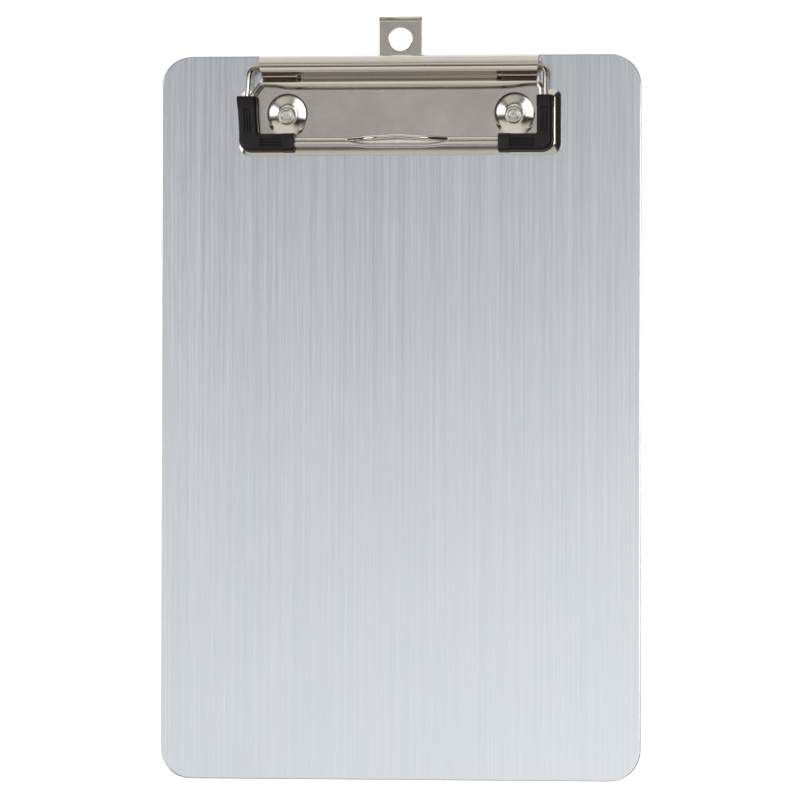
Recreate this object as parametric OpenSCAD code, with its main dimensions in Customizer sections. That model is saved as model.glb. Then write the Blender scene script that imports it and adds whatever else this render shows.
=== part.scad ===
// Memo-size flat clipboard: an aluminium board with a low wire-bail clip and a pull-out hanging tab.
// Origin: centre of the board's back face. +X is to the right, +Y to the clip end, +Z out of the front face.

/* [Board] */
// Width of the board
board_w = 152.4; // [130:0.1:240]
// Length of the board
board_l = 228.6; // [180:0.1:360]
// Thickness of the board
board_t = 2.0; // [1.8:0.1:4]
// Radius of the board's corners
board_corner_r = 10; // [4:0.5:20]
// Chamfer round the board's edges
board_chamfer = 0.3; // [0.1:0.05:0.5]

/* [Clip plate] */
// Thickness of the clip's sheet steel
sheet_t = 0.8; // [0.6:0.05:1]
// Width of each shoulder of the plate, beside the curl
shoulder_w = 6.8; // [6:0.1:9]
// Distance from the plate's front edge to its shoulders
wide_depth = 20.6; // [18:0.1:24]
// Distance from the plate's front edge to the back of the curl
clip_depth = 31.4; // [31:0.1:36]
// Distance from the board's top edge to the back of the curl
clip_setback = 0.4; // [0.2:0.1:6]
// Gap between the board and the underside of the platform
platform_gap = 2.0; // [1.6:0.1:2.6]
// Side of the slanted web between each shoulder and the curl
shoulder_web = 2.5; // [1:0.1:3]
// Radius of the plate's corners, seen from above
plate_corner_r = 2.8; // [2.6:0.1:4]
// Outer radius of the bend along the turned-down edges
edge_bend_r = 2.0; // [1.2:0.1:2.2]

/* [Curl] */
// Width of the back of the curl
curl_w = 88.4; // [86:0.1:92]
// Distance that each end of the curl's front hump stands back from the curl's end
hump_inset = 1.0; // [0.5:0.1:1.6]
// Outer radius of the roll at the back
roll_r = 2.15; // [2.1:0.05:2.5]
// Height of both wires' hinge lines over the platform
hinge_h = 2.2; // [2.1:0.05:2.4]
// Distance from the back of the curl to the outer wire's hinge line
outer_hinge_in = 3.8; // [3.7:0.1:4.6]
// Distance between the two wires' hinge lines, along the board
hinge_pitch = 5.0; // [3.8:0.05:5.2]
// Gap between the curl's free front edge and the platform
free_edge_gap = 0.5; // [0.4:0.05:0.8]

/* [Wire bail] */
// Diameter of both wires
wire_d = 1.6; // [1.2:0.1:1.7]
// Distance from the curl's end to the centre of the outer wire's arm
arm_out = 2.9; // [2.5:0.1:3.2]
// Distance from the outer wire's hinge line to its front bar
outer_reach = 24.8; // [24:0.1:25]
// Centre distance of the two wires where they lie side by side
wire_pitch = 1.7; // [1.7:0.05:2]
// Centreline radius of the wires' bends beside the curl
exit_bend_r = 2.2; // [1.6:0.1:2.4]
// Centreline radius of the inner wire's bends in the grips
corner_bend_r = 1.7; // [1.2:0.1:2.5]
// Height of the inner wire's finger bump over its front bar
bump_h = 3.6; // [1:0.1:5]
// Distance that the finger bump leans back towards the curl
bump_lean = 0.6; // [0:0.1:1.5]
// Width of the level top of the finger bump
bump_top_w = 16.4; // [12:0.2:30]
// Width of the finger bump at its foot
bump_foot_w = 31.6; // [26:0.2:50]
// Side play of the bail that is taken up to the left
bail_shift = 0.7; // [0:0.1:1]
// Gap between the two ends of each wire, inside the curl
wire_end_gap = 1; // [0.5:0.1:4]

/* [Corner grips] */
// Width of a grip's arms
grip_w = 5.6; // [5:0.1:6.5]
// Height of a grip
grip_h = 4.8; // [4:0.1:6]
// Length of a grip along the side of the bail
grip_side_l = 17.3; // [14:0.1:18.4]
// Length of a grip along the front of the bail
grip_front_l = 17.1; // [14:0.1:24]
// Width of the grip outside the outer wire, at the side
grip_side_cover = 2.5; // [2:0.1:3]
// Width of the grip in front of the outer wire, at the front
grip_front_cover = 1.6; // [1.3:0.1:2]
// Radius of the rounded upper edges of a grip
grip_edge_r = 1.5; // [0.5:0.1:2]
// Radius of the inner corner of a grip
grip_inner_r = 0.5; // [0.3:0.1:1]
// Width of the step round the foot of a grip
grip_foot = 0.25; // [0.1:0.05:0.4]
// Height of the step round the foot of a grip
grip_foot_h = 0.9; // [0.5:0.1:1.2]
// Number of grooves along each arm of a grip
groove_count = 3; // [1:1:3]
// Centre distance of the grooves
groove_pitch = 1.1; // [1:0.05:1.2]
// Width of a groove
groove_w = 0.5; // [0.3:0.05:0.7]
// Depth of a groove
groove_depth = 0.45; // [0.2:0.05:0.6]
// Length of the smooth collar at each end of a grip
collar_l = 3.8; // [2:0.1:5]

/* [Rivets] */
// Distance between the two rivets
rivet_spacing = 72; // [60:0.5:76]
// Distance from the plate's front edge to the rivets
rivet_from_front = 12.6; // [11:0.1:13]
// Diameter of the round dish pressed round a rivet
dish_d = 12.8; // [11.5:0.1:13.4]
// Distance that the dish lies to the right of its rivet
dish_off_x = 0.5; // [0:0.05:0.6]
// Distance that the dish lies behind its rivet
dish_off_y = 0.5; // [0:0.05:0.6]
// Diameter of the flat floor of the dish
dish_floor_d = 8.6; // [8:0.1:9]
// Diameter of a rivet's head
head_d = 5.8; // [5.2:0.1:7]
// Height of a rivet's head
head_h = 1.0; // [0.8:0.1:1.2]
// Diameter of a rivet's shank
shank_d = 3.2; // [2.8:0.1:3.6]
// Diameter of the hole down the middle of a rivet
rivet_hole_d = 1.9; // [1.4:0.1:2]
// Diameter of the rolled tail
tail_d = 5.2; // [4.8:0.1:5.6]
// Thickness of the rolled tail
tail_t = 0.6; // [0.5:0.05:0.7]
// Depth of the tail under the back face
tail_inset = 0.2; // [0.1:0.05:0.4]

/* [Hanging tab] */
// Width of the tab outside the clip
tab_w = 13.2; // [12:0.1:16]
// Thickness of the tab
tab_t = 0.8; // [0.6:0.05:0.9]
// Distance that the tab stands out past the board's top edge
tab_out = 12.0; // [10.8:0.1:20]
// Diameter of the hanging hole
hang_hole_d = 7.6; // [4:0.1:8]
// Distance from the board's top edge to the centre of the hanging hole
hang_hole_out = 4.8; // [4.4:0.1:5.2]
// Width that the tab gains on each side inside the clip
tab_step = 1.0; // [0.5:0.1:1.5]
// Distance that the wide part of the tab shows behind the curl
tab_flare = 0.5; // [0.3:0.1:2]
// Width that the stop at the tab's tail gains on each side
tab_stop = 2.0; // [1.2:0.1:3]
// Length of the stop at the tab's tail
tab_stop_l = 4; // [3:0.1:5]
// Centreline radius of the bend at the tab's finger lip
lip_bend_r = 1.0; // [0.8:0.1:1.2]
// Angle through which the finger lip is bent up
lip_angle = 70; // [45:5:80]
// Length of the straight edge of the finger lip
lip_l = 0.5; // [0.2:0.1:1]
// Length of the guide tongues beside the tab
guide_l = 5; // [3:0.1:6]

/* [Fits] */
// Radial clearance of the wires in the curl and in the grips
wire_fit = 0.05; // [0.03:0.01:0.1]
// Radial clearance of a rivet's shank in the board and the plate
rivet_fit = 0.08; // [0.02:0.01:0.1]
// Side clearance of the tab between its guides
tab_play = 0.2; // [0.1:0.05:0.4]
// Clearance between the tab and the faces that it slides on
tab_fit = 0.05; // [0.03:0.01:0.1]

/* [Hidden] */

$fn = 64;
eps = 0.01;
// A bent wire swells this much in diameter at the knees of the finger bump
knee_swell = 0.1;
// Flat steps in the bend of the tab's finger lip
lip_steps = 14;
sides = [-1, 1];
steel = [0.70, 0.68, 0.65];
aluminium = [0.80, 0.81, 0.82];
black = [0.12, 0.12, 0.13];

// Places along the board
top_y = board_l / 2;
curl_back_y = top_y - clip_setback;
front_y = curl_back_y - clip_depth;
shoulder_y = front_y + wide_depth;
roll_y = curl_back_y - roll_r;
outer_hinge_y = curl_back_y - outer_hinge_in;
inner_hinge_y = outer_hinge_y - hinge_pitch;
rivet_y = front_y + rivet_from_front;
outer_bar_y = outer_hinge_y - outer_reach;
inner_bar_y = outer_bar_y + wire_pitch;
inner_reach = inner_hinge_y - inner_bar_y;

// Heights
under_z = board_t + platform_gap;
platform_z = under_z + sheet_t;
hinge_z = platform_z + hinge_h;
roll_z = under_z + roll_r;
tab_z = board_t + tab_fit;

// Radii and half widths
wire_r = wire_d / 2;
bore_r = wire_r + wire_fit;
knuckle_r = bore_r + sheet_t;
plate_w = curl_w + 2 * shoulder_w;
hump_w = curl_w - 2 * hump_inset;
outer_x = curl_w / 2 + arm_out;
inner_x = outer_x - wire_pitch;
// The outer wire's knuckle ends where the wire's bend starts on the right, where the bail lies closest
knuckle_w = 2 * (outer_x - bail_shift - exit_bend_r - wire_fit);
edge_inner_r = edge_bend_r - sheet_t;
tab_inner_w = tab_w + 2 * tab_step;
tab_tail_w = tab_inner_w + 2 * tab_stop;
guide_back_y = roll_y;
guide_front_y = guide_back_y - guide_l;

// A quarter turn of the profile round each corner of a w by l frame, and the profile along its sides.
// The profile's x runs from 0 at the corner's centre to r at the outer edge.
module frame_sweep(w, l, r) {
    half = [w / 2 - r, l / 2 - r];
    for (k = [0:3]) {
        x = (k == 0 || k == 3) ? half.x : -half.x;
        y = (k < 2) ? half.y : -half.y;
        run = (k % 2 == 0) ? 2 * half.y : 2 * half.x;
        translate([x, y, 0]) rotate([0, 0, 90 * k]) {
            rotate_extrude(angle = 90) children();
            rotate([90, 0, 0]) linear_extrude(run) children();
        }
    }
}

// A wire that runs through the points. Each inner point is a bend of the given centreline radius,
// or a knee with a small ball in it where that radius is 0.
module bent_wire(points, radii, d) {
    last = len(points) - 1;
    heads = [for (i = [0:last - 1]) unit(points[i + 1] - points[i])];
    cuts = [for (i = [0:last])
        (i == 0 || i == last) ? 0 : radii[i - 1] * tan(turn(heads[i - 1], heads[i]) / 2)];
    for (i = [0:last - 1]) {
        a = points[i] + heads[i] * cuts[i];
        b = points[i + 1] - heads[i] * cuts[i + 1];
        place(a, heads[i]) cylinder(d = d, h = norm(b - a));
    }
    for (i = [1:last - 1])
        if (radii[i - 1] > 0)
            bend(points[i] - heads[i - 1] * cuts[i], heads[i - 1], heads[i], radii[i - 1], d);
        else
            translate(points[i]) sphere(d = d + knee_swell);
}

// One bend, from a start point and heading to a new heading
module bend(start, from, to, r, d) {
    normal = unit(cross(from, to));
    inward = cross(normal, from);
    centre = start + inward * r;
    axes(centre, -inward, from, normal)
        rotate_extrude(angle = turn(from, to)) translate([r, 0]) circle(d = d);
}

module axes(o, x, y, z)
    multmatrix([[x.x, y.x, z.x, o.x], [x.y, y.y, z.y, o.y], [x.z, y.z, z.z, o.z], [0, 0, 0, 1]]) children();

module place(o, z) {
    side = abs(z.z) < 0.9 ? unit(cross([0, 0, 1], z)) : [1, 0, 0];
    axes(o, side, cross(z, side), z) children();
}

function unit(v) = v / norm(v);
function turn(a, b) = atan2(norm(cross(a, b)), a * b);

// A cylinder along X, centred on x = 0
module rod(r, y, z, w) translate([-w / 2, y, z]) rotate([0, 90, 0]) cylinder(r = r, h = w);

module at_rivet(side) translate([side * rivet_spacing / 2, rivet_y, 0]) children();

module at_dish(side) at_rivet(side) translate([dish_off_x, dish_off_y, 0]) children();

// A box centred on x = 0
module bar(w, y0, y1, z0, z1) translate([-w / 2, y0, z0]) cube([w, y1 - y0, z1 - z0]);

// The flat sheet with its chamfered edge, as half a section
module board_edge() {
    r = board_corner_r;
    c = board_chamfer;
    polygon([[0, 0], [r - c, 0], [r, c], [r, board_t - c], [r - c, board_t], [0, board_t]]);
}

module board() {
    inner_w = board_w - 2 * board_corner_r;
    inner_l = board_l - 2 * board_corner_r;
    color(aluminium) difference() {
        union() {
            frame_sweep(board_w, board_l, board_corner_r) board_edge();
            bar(inner_w, -inner_l / 2, inner_l / 2, 0, board_t);
        }
        for (side = sides) at_rivet(side) {
            translate([0, 0, -eps]) cylinder(r = shank_d / 2 + rivet_fit, h = board_t + 2 * eps);
            translate([0, 0, -eps]) cylinder(r = tail_d / 2 + 2 * rivet_fit, h = tail_inset + tail_t + eps);
        }
    }
}

// Section of the turned-down edge: the sheet bends from level to upright
module plate_edge() {
    r = plate_corner_r;
    bend_x = r - edge_bend_r;
    bend_z = platform_z - edge_bend_r;
    translate([0, under_z]) square([bend_x, sheet_t]);
    translate([r - sheet_t, board_t]) square([sheet_t, bend_z - board_t]);
    intersection() {
        translate([bend_x, bend_z]) difference() {
            circle(edge_bend_r);
            circle(edge_inner_r);
        }
        translate([bend_x, bend_z]) square(edge_bend_r);
    }
}

// The round dish that is pressed down to the board
module dish() {
    rim = dish_d / 2;
    floor_r = dish_floor_d / 2;
    rotate_extrude() polygon([
        [0, board_t], [floor_r + sheet_t / 2, board_t], [rim, under_z],
        [rim, platform_z], [floor_r, board_t + sheet_t], [0, board_t + sheet_t]
    ]);
}

// The platform with its turned-down edges, open at the back where it runs on under the curl
module platform() {
    mid_y = (front_y + shoulder_y) / 2;
    difference() {
        union() {
            translate([0, mid_y, 0]) frame_sweep(plate_w, wide_depth, plate_corner_r) plate_edge();
            bar(plate_w - 2 * plate_corner_r, front_y + plate_corner_r, shoulder_y - plate_corner_r,
                under_z, platform_z);
        }
        bar(curl_w, shoulder_y - plate_corner_r, shoulder_y + eps, 0, platform_z + eps);
    }
    bar(curl_w, shoulder_y - plate_corner_r, roll_y, under_z, platform_z);
    translate([0, 0, under_z]) linear_extrude(sheet_t) polygon([
        [curl_w / 2 + shoulder_web, shoulder_y - edge_bend_r], [curl_w / 2 + shoulder_web, shoulder_y],
        [curl_w / 2, shoulder_y + shoulder_web], [-curl_w / 2, shoulder_y + shoulder_web],
        [-curl_w / 2 - shoulder_web, shoulder_y], [-curl_w / 2 - shoulder_web, shoulder_y - edge_bend_r]
    ]);
}

// The curl: the sheet rolls up at the back, wraps the outer wire and ends as a hump over the inner wire
module curl() {
    crest_z = roll_z + roll_r;
    outer_front_y = outer_hinge_y - bore_r;
    inner_back_y = inner_hinge_y + bore_r;
    intersection() {
        difference() {
            rod(roll_r, roll_y, roll_z, curl_w);
            rod(roll_r - sheet_t, roll_y, roll_z, curl_w + 2);
        }
        bar(curl_w, roll_y, curl_back_y + 1, under_z - 1, crest_z + 1);
    }
    bar(curl_w, outer_hinge_y + knuckle_r / 2, roll_y, crest_z - sheet_t, crest_z);
    rod(knuckle_r, outer_hinge_y, hinge_z, knuckle_w);
    bar(hump_w, inner_back_y, outer_front_y, hinge_z - sheet_t / 2, hinge_z + sheet_t / 2);
    intersection() {
        rod(knuckle_r, inner_hinge_y, hinge_z, hump_w);
        bar(hump_w, inner_hinge_y - 2 * knuckle_r, inner_hinge_y + 2 * knuckle_r,
            platform_z + free_edge_gap, hinge_z + 2 * knuckle_r);
    }
}

// The room that the two wires need in the curl, with the notches where the inner wire bends out
module wire_room() {
    rod(bore_r, outer_hinge_y, hinge_z, curl_w + 2);
    rod(bore_r, inner_hinge_y, hinge_z, hump_w + 2);
    notch_x = inner_x - bail_shift - exit_bend_r - wire_fit;
    for (side = sides)
        translate([side > 0 ? notch_x : -curl_w, inner_hinge_y - 2 * knuckle_r, platform_z])
            cube([curl_w - notch_x, 2 * knuckle_r, hinge_h + bore_r]);
}

module base_plate() {
    guide_x = tab_inner_w / 2 + tab_play;
    color(steel) difference() {
        union() {
            difference() {
                union() {
                    platform();
                    curl();
                }
                wire_room();
                for (side = sides) at_dish(side) translate([0, 0, under_z - eps])
                    cylinder(d = dish_d, h = sheet_t + 2 * eps);
            }
            for (side = sides) {
                at_dish(side) dish();
                translate([side > 0 ? guide_x : -guide_x - sheet_t, guide_front_y, board_t])
                    cube([sheet_t, guide_l, platform_gap]);
            }
        }
        for (side = sides) at_rivet(side) cylinder(r = shank_d / 2 + rivet_fit, h = under_z);
    }
}

// Half a bail's points from the hinge line to the front bar's corner, on the right-hand side
function bail_half(x, reach) = [[wire_end_gap / 2, 0, 0], [x, 0, 0], [x, -reach, 0]];

// The finger bump's knees on the same side, from its foot to its top
function bump_half(reach) = [
    [bump_foot_w / 2, -reach, 0],
    [bump_top_w / 2, -reach + bump_lean, bump_h]
];

function mirrored(points) = [for (i = [len(points) - 1:-1:0]) [-points[i].x, points[i].y, points[i].z]];

// A whole bail wire, its hinge line on the X axis, with the given knees in its front bar
module bail(x, reach, corner_r, knees = []) {
    half = concat(bail_half(x, reach), knees);
    sharp = [for (knee = knees) 0];
    radii = concat([exit_bend_r, corner_r], sharp, sharp, [corner_r, exit_bend_r]);
    translate([-bail_shift, 0, 0]) bent_wire(concat(half, mirrored(half)), radii, wire_d);
}

module outer_wire()
    color(steel) translate([0, outer_hinge_y, hinge_z])
        bail(outer_x, outer_reach, corner_bend_r + wire_pitch);

module inner_wire()
    color(steel) translate([0, inner_hinge_y, hinge_z])
        bail(inner_x, inner_reach, corner_bend_r, bump_half(inner_reach));

// Section of a grip's arm, from its inner face at x = 0, resting on y = 0
module grip_section() {
    w = grip_w;
    f = grip_foot;
    r = grip_edge_r;
    square([w, grip_foot_h]);
    translate([f, 0]) square([w - 2 * f, grip_h - r]);
    translate([f + r, 0]) square([w - 2 * f - 2 * r, grip_h]);
    for (x = [f + r, w - f - r]) translate([x, grip_h - r]) circle(r);
}

module groove_section()
    for (i = [0:groove_count - 1])
        translate([grip_w / 2 + (i - (groove_count - 1) / 2) * groove_pitch - groove_w / 2, grip_h - groove_depth])
            square([groove_w, groove_depth + 1]);

// Room for both wires side by side, with the inner wire's centre at x = 0
module wire_pair_section() {
    for (x = [0, wire_pitch]) translate([x, 0]) circle(bore_r);
    translate([0, -bore_r]) square([wire_pitch, 2 * bore_r]);
}

// A section carried down one arm, round a corner and along the other arm. The corner's centre is the origin,
// r is the radius at which the section's x starts.
module l_sweep(r, side_l, front_l) {
    translate([r, side_l, 0]) rotate([90, 0, 0]) linear_extrude(side_l) children();
    rotate([0, 0, -90]) rotate_extrude(angle = 90) translate([r, 0]) children();
    translate([0, -r, 0]) rotate([0, 0, -90]) rotate([90, 0, 0]) linear_extrude(front_l) children();
}

// The right-hand grip, moulded round both wires at the corner of the bail
module corner_grip() {
    outer_side = outer_x + grip_side_cover;
    outer_front = outer_bar_y - grip_front_cover;
    centre = [outer_side - grip_w - grip_inner_r, outer_front + grip_w + grip_inner_r];
    wire_centre = [inner_x - corner_bend_r, inner_bar_y + corner_bend_r];
    side_l = outer_front + grip_side_l - centre.y;
    front_l = grip_front_l - grip_w - grip_inner_r;
    difference() {
        translate([centre.x, centre.y, platform_z]) l_sweep(grip_inner_r, side_l, front_l) grip_section();
        translate([wire_centre.x, wire_centre.y, hinge_z])
            l_sweep(corner_bend_r, grip_side_l, grip_front_l) wire_pair_section();
        translate([centre.x + grip_inner_r, centre.y + side_l - collar_l, platform_z])
            rotate([90, 0, 0]) linear_extrude(side_l - collar_l) groove_section();
        translate([centre.x - front_l + collar_l, centre.y - grip_inner_r, platform_z])
            rotate([90, 0, 90]) linear_extrude(front_l - collar_l) mirror([1, 0]) groove_section();
    }
}

module corner_grip_right() color(black) translate([-bail_shift, 0, 0]) corner_grip();

module corner_grip_left() color(black) translate([-bail_shift, 0, 0]) mirror([1, 0, 0]) corner_grip();

// Side view of the tab's strip, from its tail at start_y to the finger lip that is bent up at its end
module tab_side(start_y) {
    lip_y = top_y + tab_out - (lip_bend_r + tab_t / 2) * sin(lip_angle) - lip_l * cos(lip_angle);
    lip_z = tab_z + tab_t / 2 + lip_bend_r;
    heading = [cos(lip_angle), sin(lip_angle)];
    inner = lip_bend_r - tab_t / 2;
    outer = lip_bend_r + tab_t / 2;
    angles = [for (i = [0:lip_steps]) -90 + lip_angle * i / lip_steps];
    under = [for (a = angles) [lip_y, lip_z] + outer * [cos(a), sin(a)]];
    over = [for (i = [lip_steps:-1:0]) [lip_y, lip_z] + inner * [cos(angles[i]), sin(angles[i])]];
    polygon(concat(
        [[start_y, tab_z]], under, [under[lip_steps] + lip_l * heading],
        [over[0] + lip_l * heading], over, [[start_y, tab_z + tab_t]]
    ));
}

// The tab's strip, with its stop, the rib that fills the gap over its tail, and the hanging hole
module hanging_tab() {
    stop_back_y = guide_front_y - tab_fit;
    tail_y = stop_back_y - tab_stop_l;
    rib_h = platform_gap - tab_t - 2 * tab_fit;
    color(steel) difference() {
        union() {
            translate([-tab_w / 2, 0, 0]) rotate([90, 0, 90]) linear_extrude(tab_w) tab_side(tail_y);
            bar(tab_inner_w, tail_y, curl_back_y + tab_flare, tab_z, tab_z + tab_t);
            bar(tab_tail_w, tail_y, stop_back_y, tab_z, tab_z + tab_t);
            intersection() {
                rod(rib_h, tail_y + tab_stop_l / 2, tab_z + tab_t, tab_w);
                bar(tab_w, tail_y, stop_back_y, tab_z, under_z);
            }
        }
        translate([0, top_y + hang_hole_out, 0]) cylinder(d = hang_hole_d, h = platform_z);
    }
}

// A tubular rivet: a rolled head in the dish, a shank through plate and board, and a rolled tail
module rivet() {
    head_z = board_t + sheet_t;
    head_r = head_d / 2;
    edge = head_h / 2;
    hole = rivet_hole_d / 2;
    shank = shank_d / 2;
    tail_top = tail_inset + tail_t;
    rotate_extrude() {
        polygon([
            [hole, tail_inset], [tail_d / 2 - tail_t / 2, tail_inset], [tail_d / 2 - tail_t / 2, tail_top],
            [shank, tail_top], [shank, head_z], [head_r - edge, head_z],
            [head_r - edge, head_z + head_h], [hole + edge, head_z + head_h], [hole, head_z + edge]
        ]);
        translate([head_r - edge, head_z + edge]) circle(edge);
        translate([tail_d / 2 - tail_t / 2, tail_inset + tail_t / 2]) circle(tail_t / 2);
    }
}

module rivet_left() color(steel) at_rivet(-1) rivet();

module rivet_right() color(steel) at_rivet(1) rivet();

board();
base_plate();
outer_wire();
inner_wire();
corner_grip_left();
corner_grip_right();
hanging_tab();
rivet_left();
rivet_right();
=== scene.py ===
import math
import bmesh
import bpy
from mathutils import Euler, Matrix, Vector


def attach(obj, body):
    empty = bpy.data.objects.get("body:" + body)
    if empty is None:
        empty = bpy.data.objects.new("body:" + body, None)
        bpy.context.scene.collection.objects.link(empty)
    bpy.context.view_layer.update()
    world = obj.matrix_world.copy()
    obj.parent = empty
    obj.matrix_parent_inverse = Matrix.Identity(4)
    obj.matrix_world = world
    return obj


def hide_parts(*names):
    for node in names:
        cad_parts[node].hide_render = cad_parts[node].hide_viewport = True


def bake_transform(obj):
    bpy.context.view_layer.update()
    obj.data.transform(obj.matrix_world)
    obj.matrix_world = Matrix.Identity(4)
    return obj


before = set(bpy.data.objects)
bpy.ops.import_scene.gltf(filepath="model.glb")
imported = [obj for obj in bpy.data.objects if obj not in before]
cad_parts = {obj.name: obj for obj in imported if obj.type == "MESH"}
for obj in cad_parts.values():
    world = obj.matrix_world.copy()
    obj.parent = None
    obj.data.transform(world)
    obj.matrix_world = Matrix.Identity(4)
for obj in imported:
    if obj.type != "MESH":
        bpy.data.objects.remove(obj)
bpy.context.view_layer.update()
print("frame loaded")

mm = 0.001                                   # the dictionaries below are in millimetres


# camera: almost overhead, a little to the right of the board
cameraView = {"place": (188.2, -27.5, 1700.0), "turn": (1.116, 6.318, 0.127), "lens": 244.07}


def addCamera(view):
    camData = bpy.data.cameras.new("studioCamera")
    camData.lens = view["lens"]
    camData.clip_end = 20
    cam = bpy.data.objects.new("studioCamera", camData)
    cam.location = Vector(view["place"]) * mm
    cam.rotation_euler = Euler([math.radians(a) for a in view["turn"]])
    bpy.context.scene.collection.objects.link(cam)
    bpy.context.scene.camera = cam


addCamera(cameraView)
print("camera placed")


# materials
def newMaterial(name, color, roughness, metallic=1.0, specular=0.5):
    mat = bpy.data.materials.new(name)
    mat.use_nodes = True
    shader = mat.node_tree.nodes["Principled BSDF"]
    shader.inputs["Base Color"].default_value = (*color, 1)
    shader.inputs["Roughness"].default_value = roughness
    shader.inputs["Metallic"].default_value = metallic
    shader.inputs["Specular IOR Level"].default_value = specular
    return mat, mat.node_tree, shader


def addNode(tree, kind, **values):
    node = tree.nodes.new(kind)
    for key, value in values.items():
        if key in node.inputs:
            node.inputs[key].default_value = value
        else:
            setattr(node, key, value)
    return node


def stretchedNoise(tree, scale, detail=3.0, roughness=0.55, seedAt=(0, 0, 0)):
    place = addNode(tree, "ShaderNodeTexCoord")
    stretch = addNode(tree, "ShaderNodeMapping", Scale=scale, Location=seedAt)
    noise = addNode(tree, "ShaderNodeTexNoise", Scale=1.0, Detail=detail, Roughness=roughness)
    tree.links.new(place.outputs["Object"], stretch.inputs["Vector"])
    tree.links.new(stretch.outputs["Vector"], noise.inputs["Vector"])
    return noise.outputs["Fac"]


def spread(tree, value, low, high, fromLow=0.3, fromHigh=0.7):
    span = addNode(tree, "ShaderNodeMapRange")
    span.inputs["From Min"].default_value = fromLow
    span.inputs["From Max"].default_value = fromHigh
    span.inputs["To Min"].default_value = low
    span.inputs["To Max"].default_value = high
    tree.links.new(value, span.inputs["Value"])
    return span.outputs["Result"]


def softSpan(tree, value, low, high):
    span = addNode(tree, "ShaderNodeMapRange", interpolation_type="SMOOTHSTEP")
    span.inputs["From Min"].default_value = low
    span.inputs["From Max"].default_value = high
    tree.links.new(value, span.inputs["Value"])
    return span.outputs["Result"]


def mixColors(tree, factor, first, second):
    mix = addNode(tree, "ShaderNodeMix", data_type="RGBA")
    mix.inputs[6].default_value = (*first, 1)
    mix.inputs[7].default_value = (*second, 1)
    tree.links.new(factor, mix.inputs[0])
    return mix.outputs[2]


def addBump(tree, shader, height, strength, distance):
    bump = addNode(tree, "ShaderNodeBump", Strength=strength, Distance=distance)
    tree.links.new(height, bump.inputs["Height"])
    tree.links.new(bump.outputs["Normal"], shader.inputs["Normal"])


def addValues(tree, first, second):
    both = addNode(tree, "ShaderNodeMath", operation="ADD")
    tree.links.new(first, both.inputs[0])
    tree.links.new(second, both.inputs[1])
    return both.outputs[0]


def placeAlong(tree):
    place = tree.nodes.new("ShaderNodeTexCoord")
    split = tree.nodes.new("ShaderNodeSeparateXYZ")
    tree.links.new(place.outputs["Object"], split.inputs[0])
    return split.outputs["Y"]


# each finish: base colour and roughness, noise scales per metre, and what the noise changes;
# a bump is its strength and its distance in metres
sumSpan = (0.7, 1.3)                         # where the sum of two noises mostly lies
aluminiumLook = {"base": (0.78, 0.81, 0.85), "rough": 0.3, "hairline": (5200, 60, 900),
                 "streak": (1500, 9, 300), "streakAt": (3, 1, 0), "dark": (0.715, 0.752, 0.792),
                 "light": (0.815, 0.847, 0.887), "tintSpan": (0.72, 1.28), "roughSpan": (0.17, 0.22),
                 "bump": (0.25, 0.00002)}
sheetLook = {"base": (0.658, 0.617, 0.562), "rough": 0.16, "cloud": (60, 60, 60), "fine": (900, 1400, 900),
             "dark": (0.632, 0.588, 0.534), "light": (0.684, 0.646, 0.59), "roughSpan": (0.13, 0.21),
             "bump": (0.08, 0.00008)}
wireLook = {"base": (0.70, 0.665, 0.61), "rough": 0.12, "fine": (1500, 500, 1500), "dark": (0.61, 0.58, 0.53),
            "light": (0.68, 0.65, 0.60), "roughSpan": (0.09, 0.17), "bump": (0.1, 0.00003)}
rivetLook = {"base": (0.62, 0.595, 0.545), "rough": 0.3, "fine": (1100, 1100, 1100),
             "dark": (0.52, 0.497, 0.45), "light": (0.70, 0.677, 0.62), "roughSpan": (0.24, 0.4),
             "bump": (0.4, 0.0001)}
rubberLook = {"base": (0.010, 0.007, 0.009), "rough": 0.4, "skin": (1800, 1800, 1800),
              "cloud": (150, 150, 150), "dark": (0.007, 0.0045, 0.006), "light": (0.013, 0.0095, 0.0115),
              "roughSpan": (0.3, 0.46), "bump": (0.3, 0.00006)}
# painted shade, in metres: a darker band along the curl's channel, and the wires painted brown where they
# turn in the curl, both standing in for shade and dark reflections
channelPaintedShade = {"middle": 0.1069, "half": 0.0016, "soft": 0.0003, "color": (0.545, 0.512, 0.465)}
wirePaintedShade = {"from": 0.1052, "to": 0.1085, "color": (0.33, 0.285, 0.225)}


def brushedAluminium(look):
    mat, tree, shader = newMaterial("brushedAluminium", look["base"], look["rough"])
    hairline = stretchedNoise(tree, look["hairline"], 3.0, 0.6)
    streak = stretchedNoise(tree, look["streak"], 2.0, 0.55, look["streakAt"])
    both = addValues(tree, hairline, streak)
    tint = spread(tree, both, 0.0, 1.0, *look["tintSpan"])
    tree.links.new(mixColors(tree, tint, look["dark"], look["light"]), shader.inputs["Base Color"])
    tree.links.new(spread(tree, both, *look["roughSpan"], *sumSpan), shader.inputs["Roughness"])
    addBump(tree, shader, hairline, *look["bump"])
    return mat


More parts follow.
